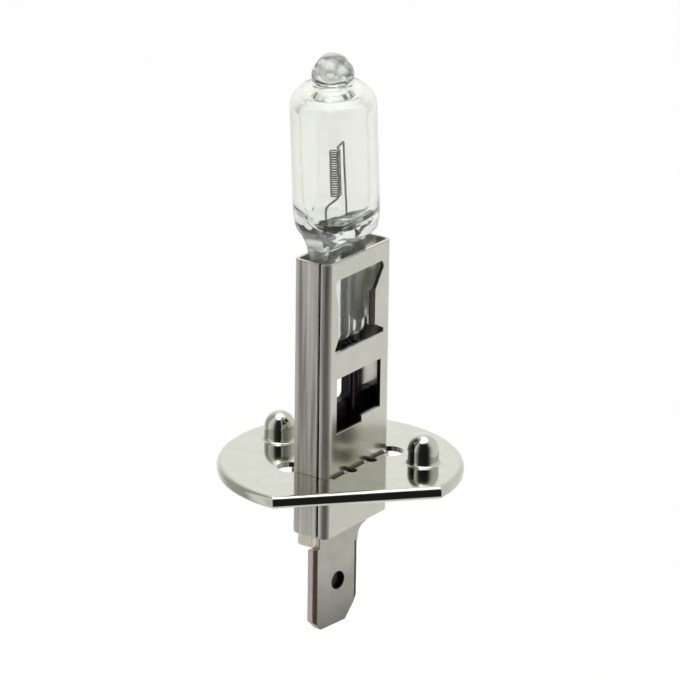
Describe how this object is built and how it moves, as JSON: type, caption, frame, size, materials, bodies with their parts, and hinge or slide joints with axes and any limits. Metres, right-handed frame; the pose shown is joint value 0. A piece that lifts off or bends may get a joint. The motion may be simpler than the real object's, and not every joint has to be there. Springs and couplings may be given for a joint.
{
  "type": "headlight bulb",
  "caption": "Halogen headlight bulb: a glass burner clamped in a windowed steel sleeve on a keyed disc cap, with a blade terminal below.",
  "frame": {"origin": "centre of the cap disc on its upper face, where the cap seats in the reflector", "axes": "+Z runs along the cap's axis to the glass tip; the flat edge of the disc faces -Y"},
  "size_m": [0.0234, 0.0203, 0.0567],
  "materials": {
    "cap_metal": "bright nickel-plated pressed steel",
    "sleeve_metal": "bright rolled stainless strip with faint vertical draw lines",
    "ceramic": "unglazed cream ceramic",
    "yoke_black": "glossy black moulding",
    "terminal_metal": "satin nickel-plated strip",
    "glass": "clear quartz glass",
    "tungsten": "dark drawn tungsten wire",
    "lead_wire": "drawn molybdenum wire",
    "foil": "thin rolled molybdenum foil",
    "outer_lead": "drawn molybdenum pin"
  },
  "bodies": {
    "root": {"flange_disc": "cap_metal", "holder_sleeve": "sleeve_metal", "ceramic_insulator": "ceramic", "insulating_yoke": "yoke_black", "terminal_blade": "terminal_metal", "glass_envelope": "glass", "filament_coil": "tungsten", "short_lead": "lead_wire", "long_lead": "lead_wire", "foil_live": "foil", "foil_earth": "foil", "outer_lead_live": "outer_lead", "outer_lead_earth": "outer_lead"}
  },
  "joints": []
}
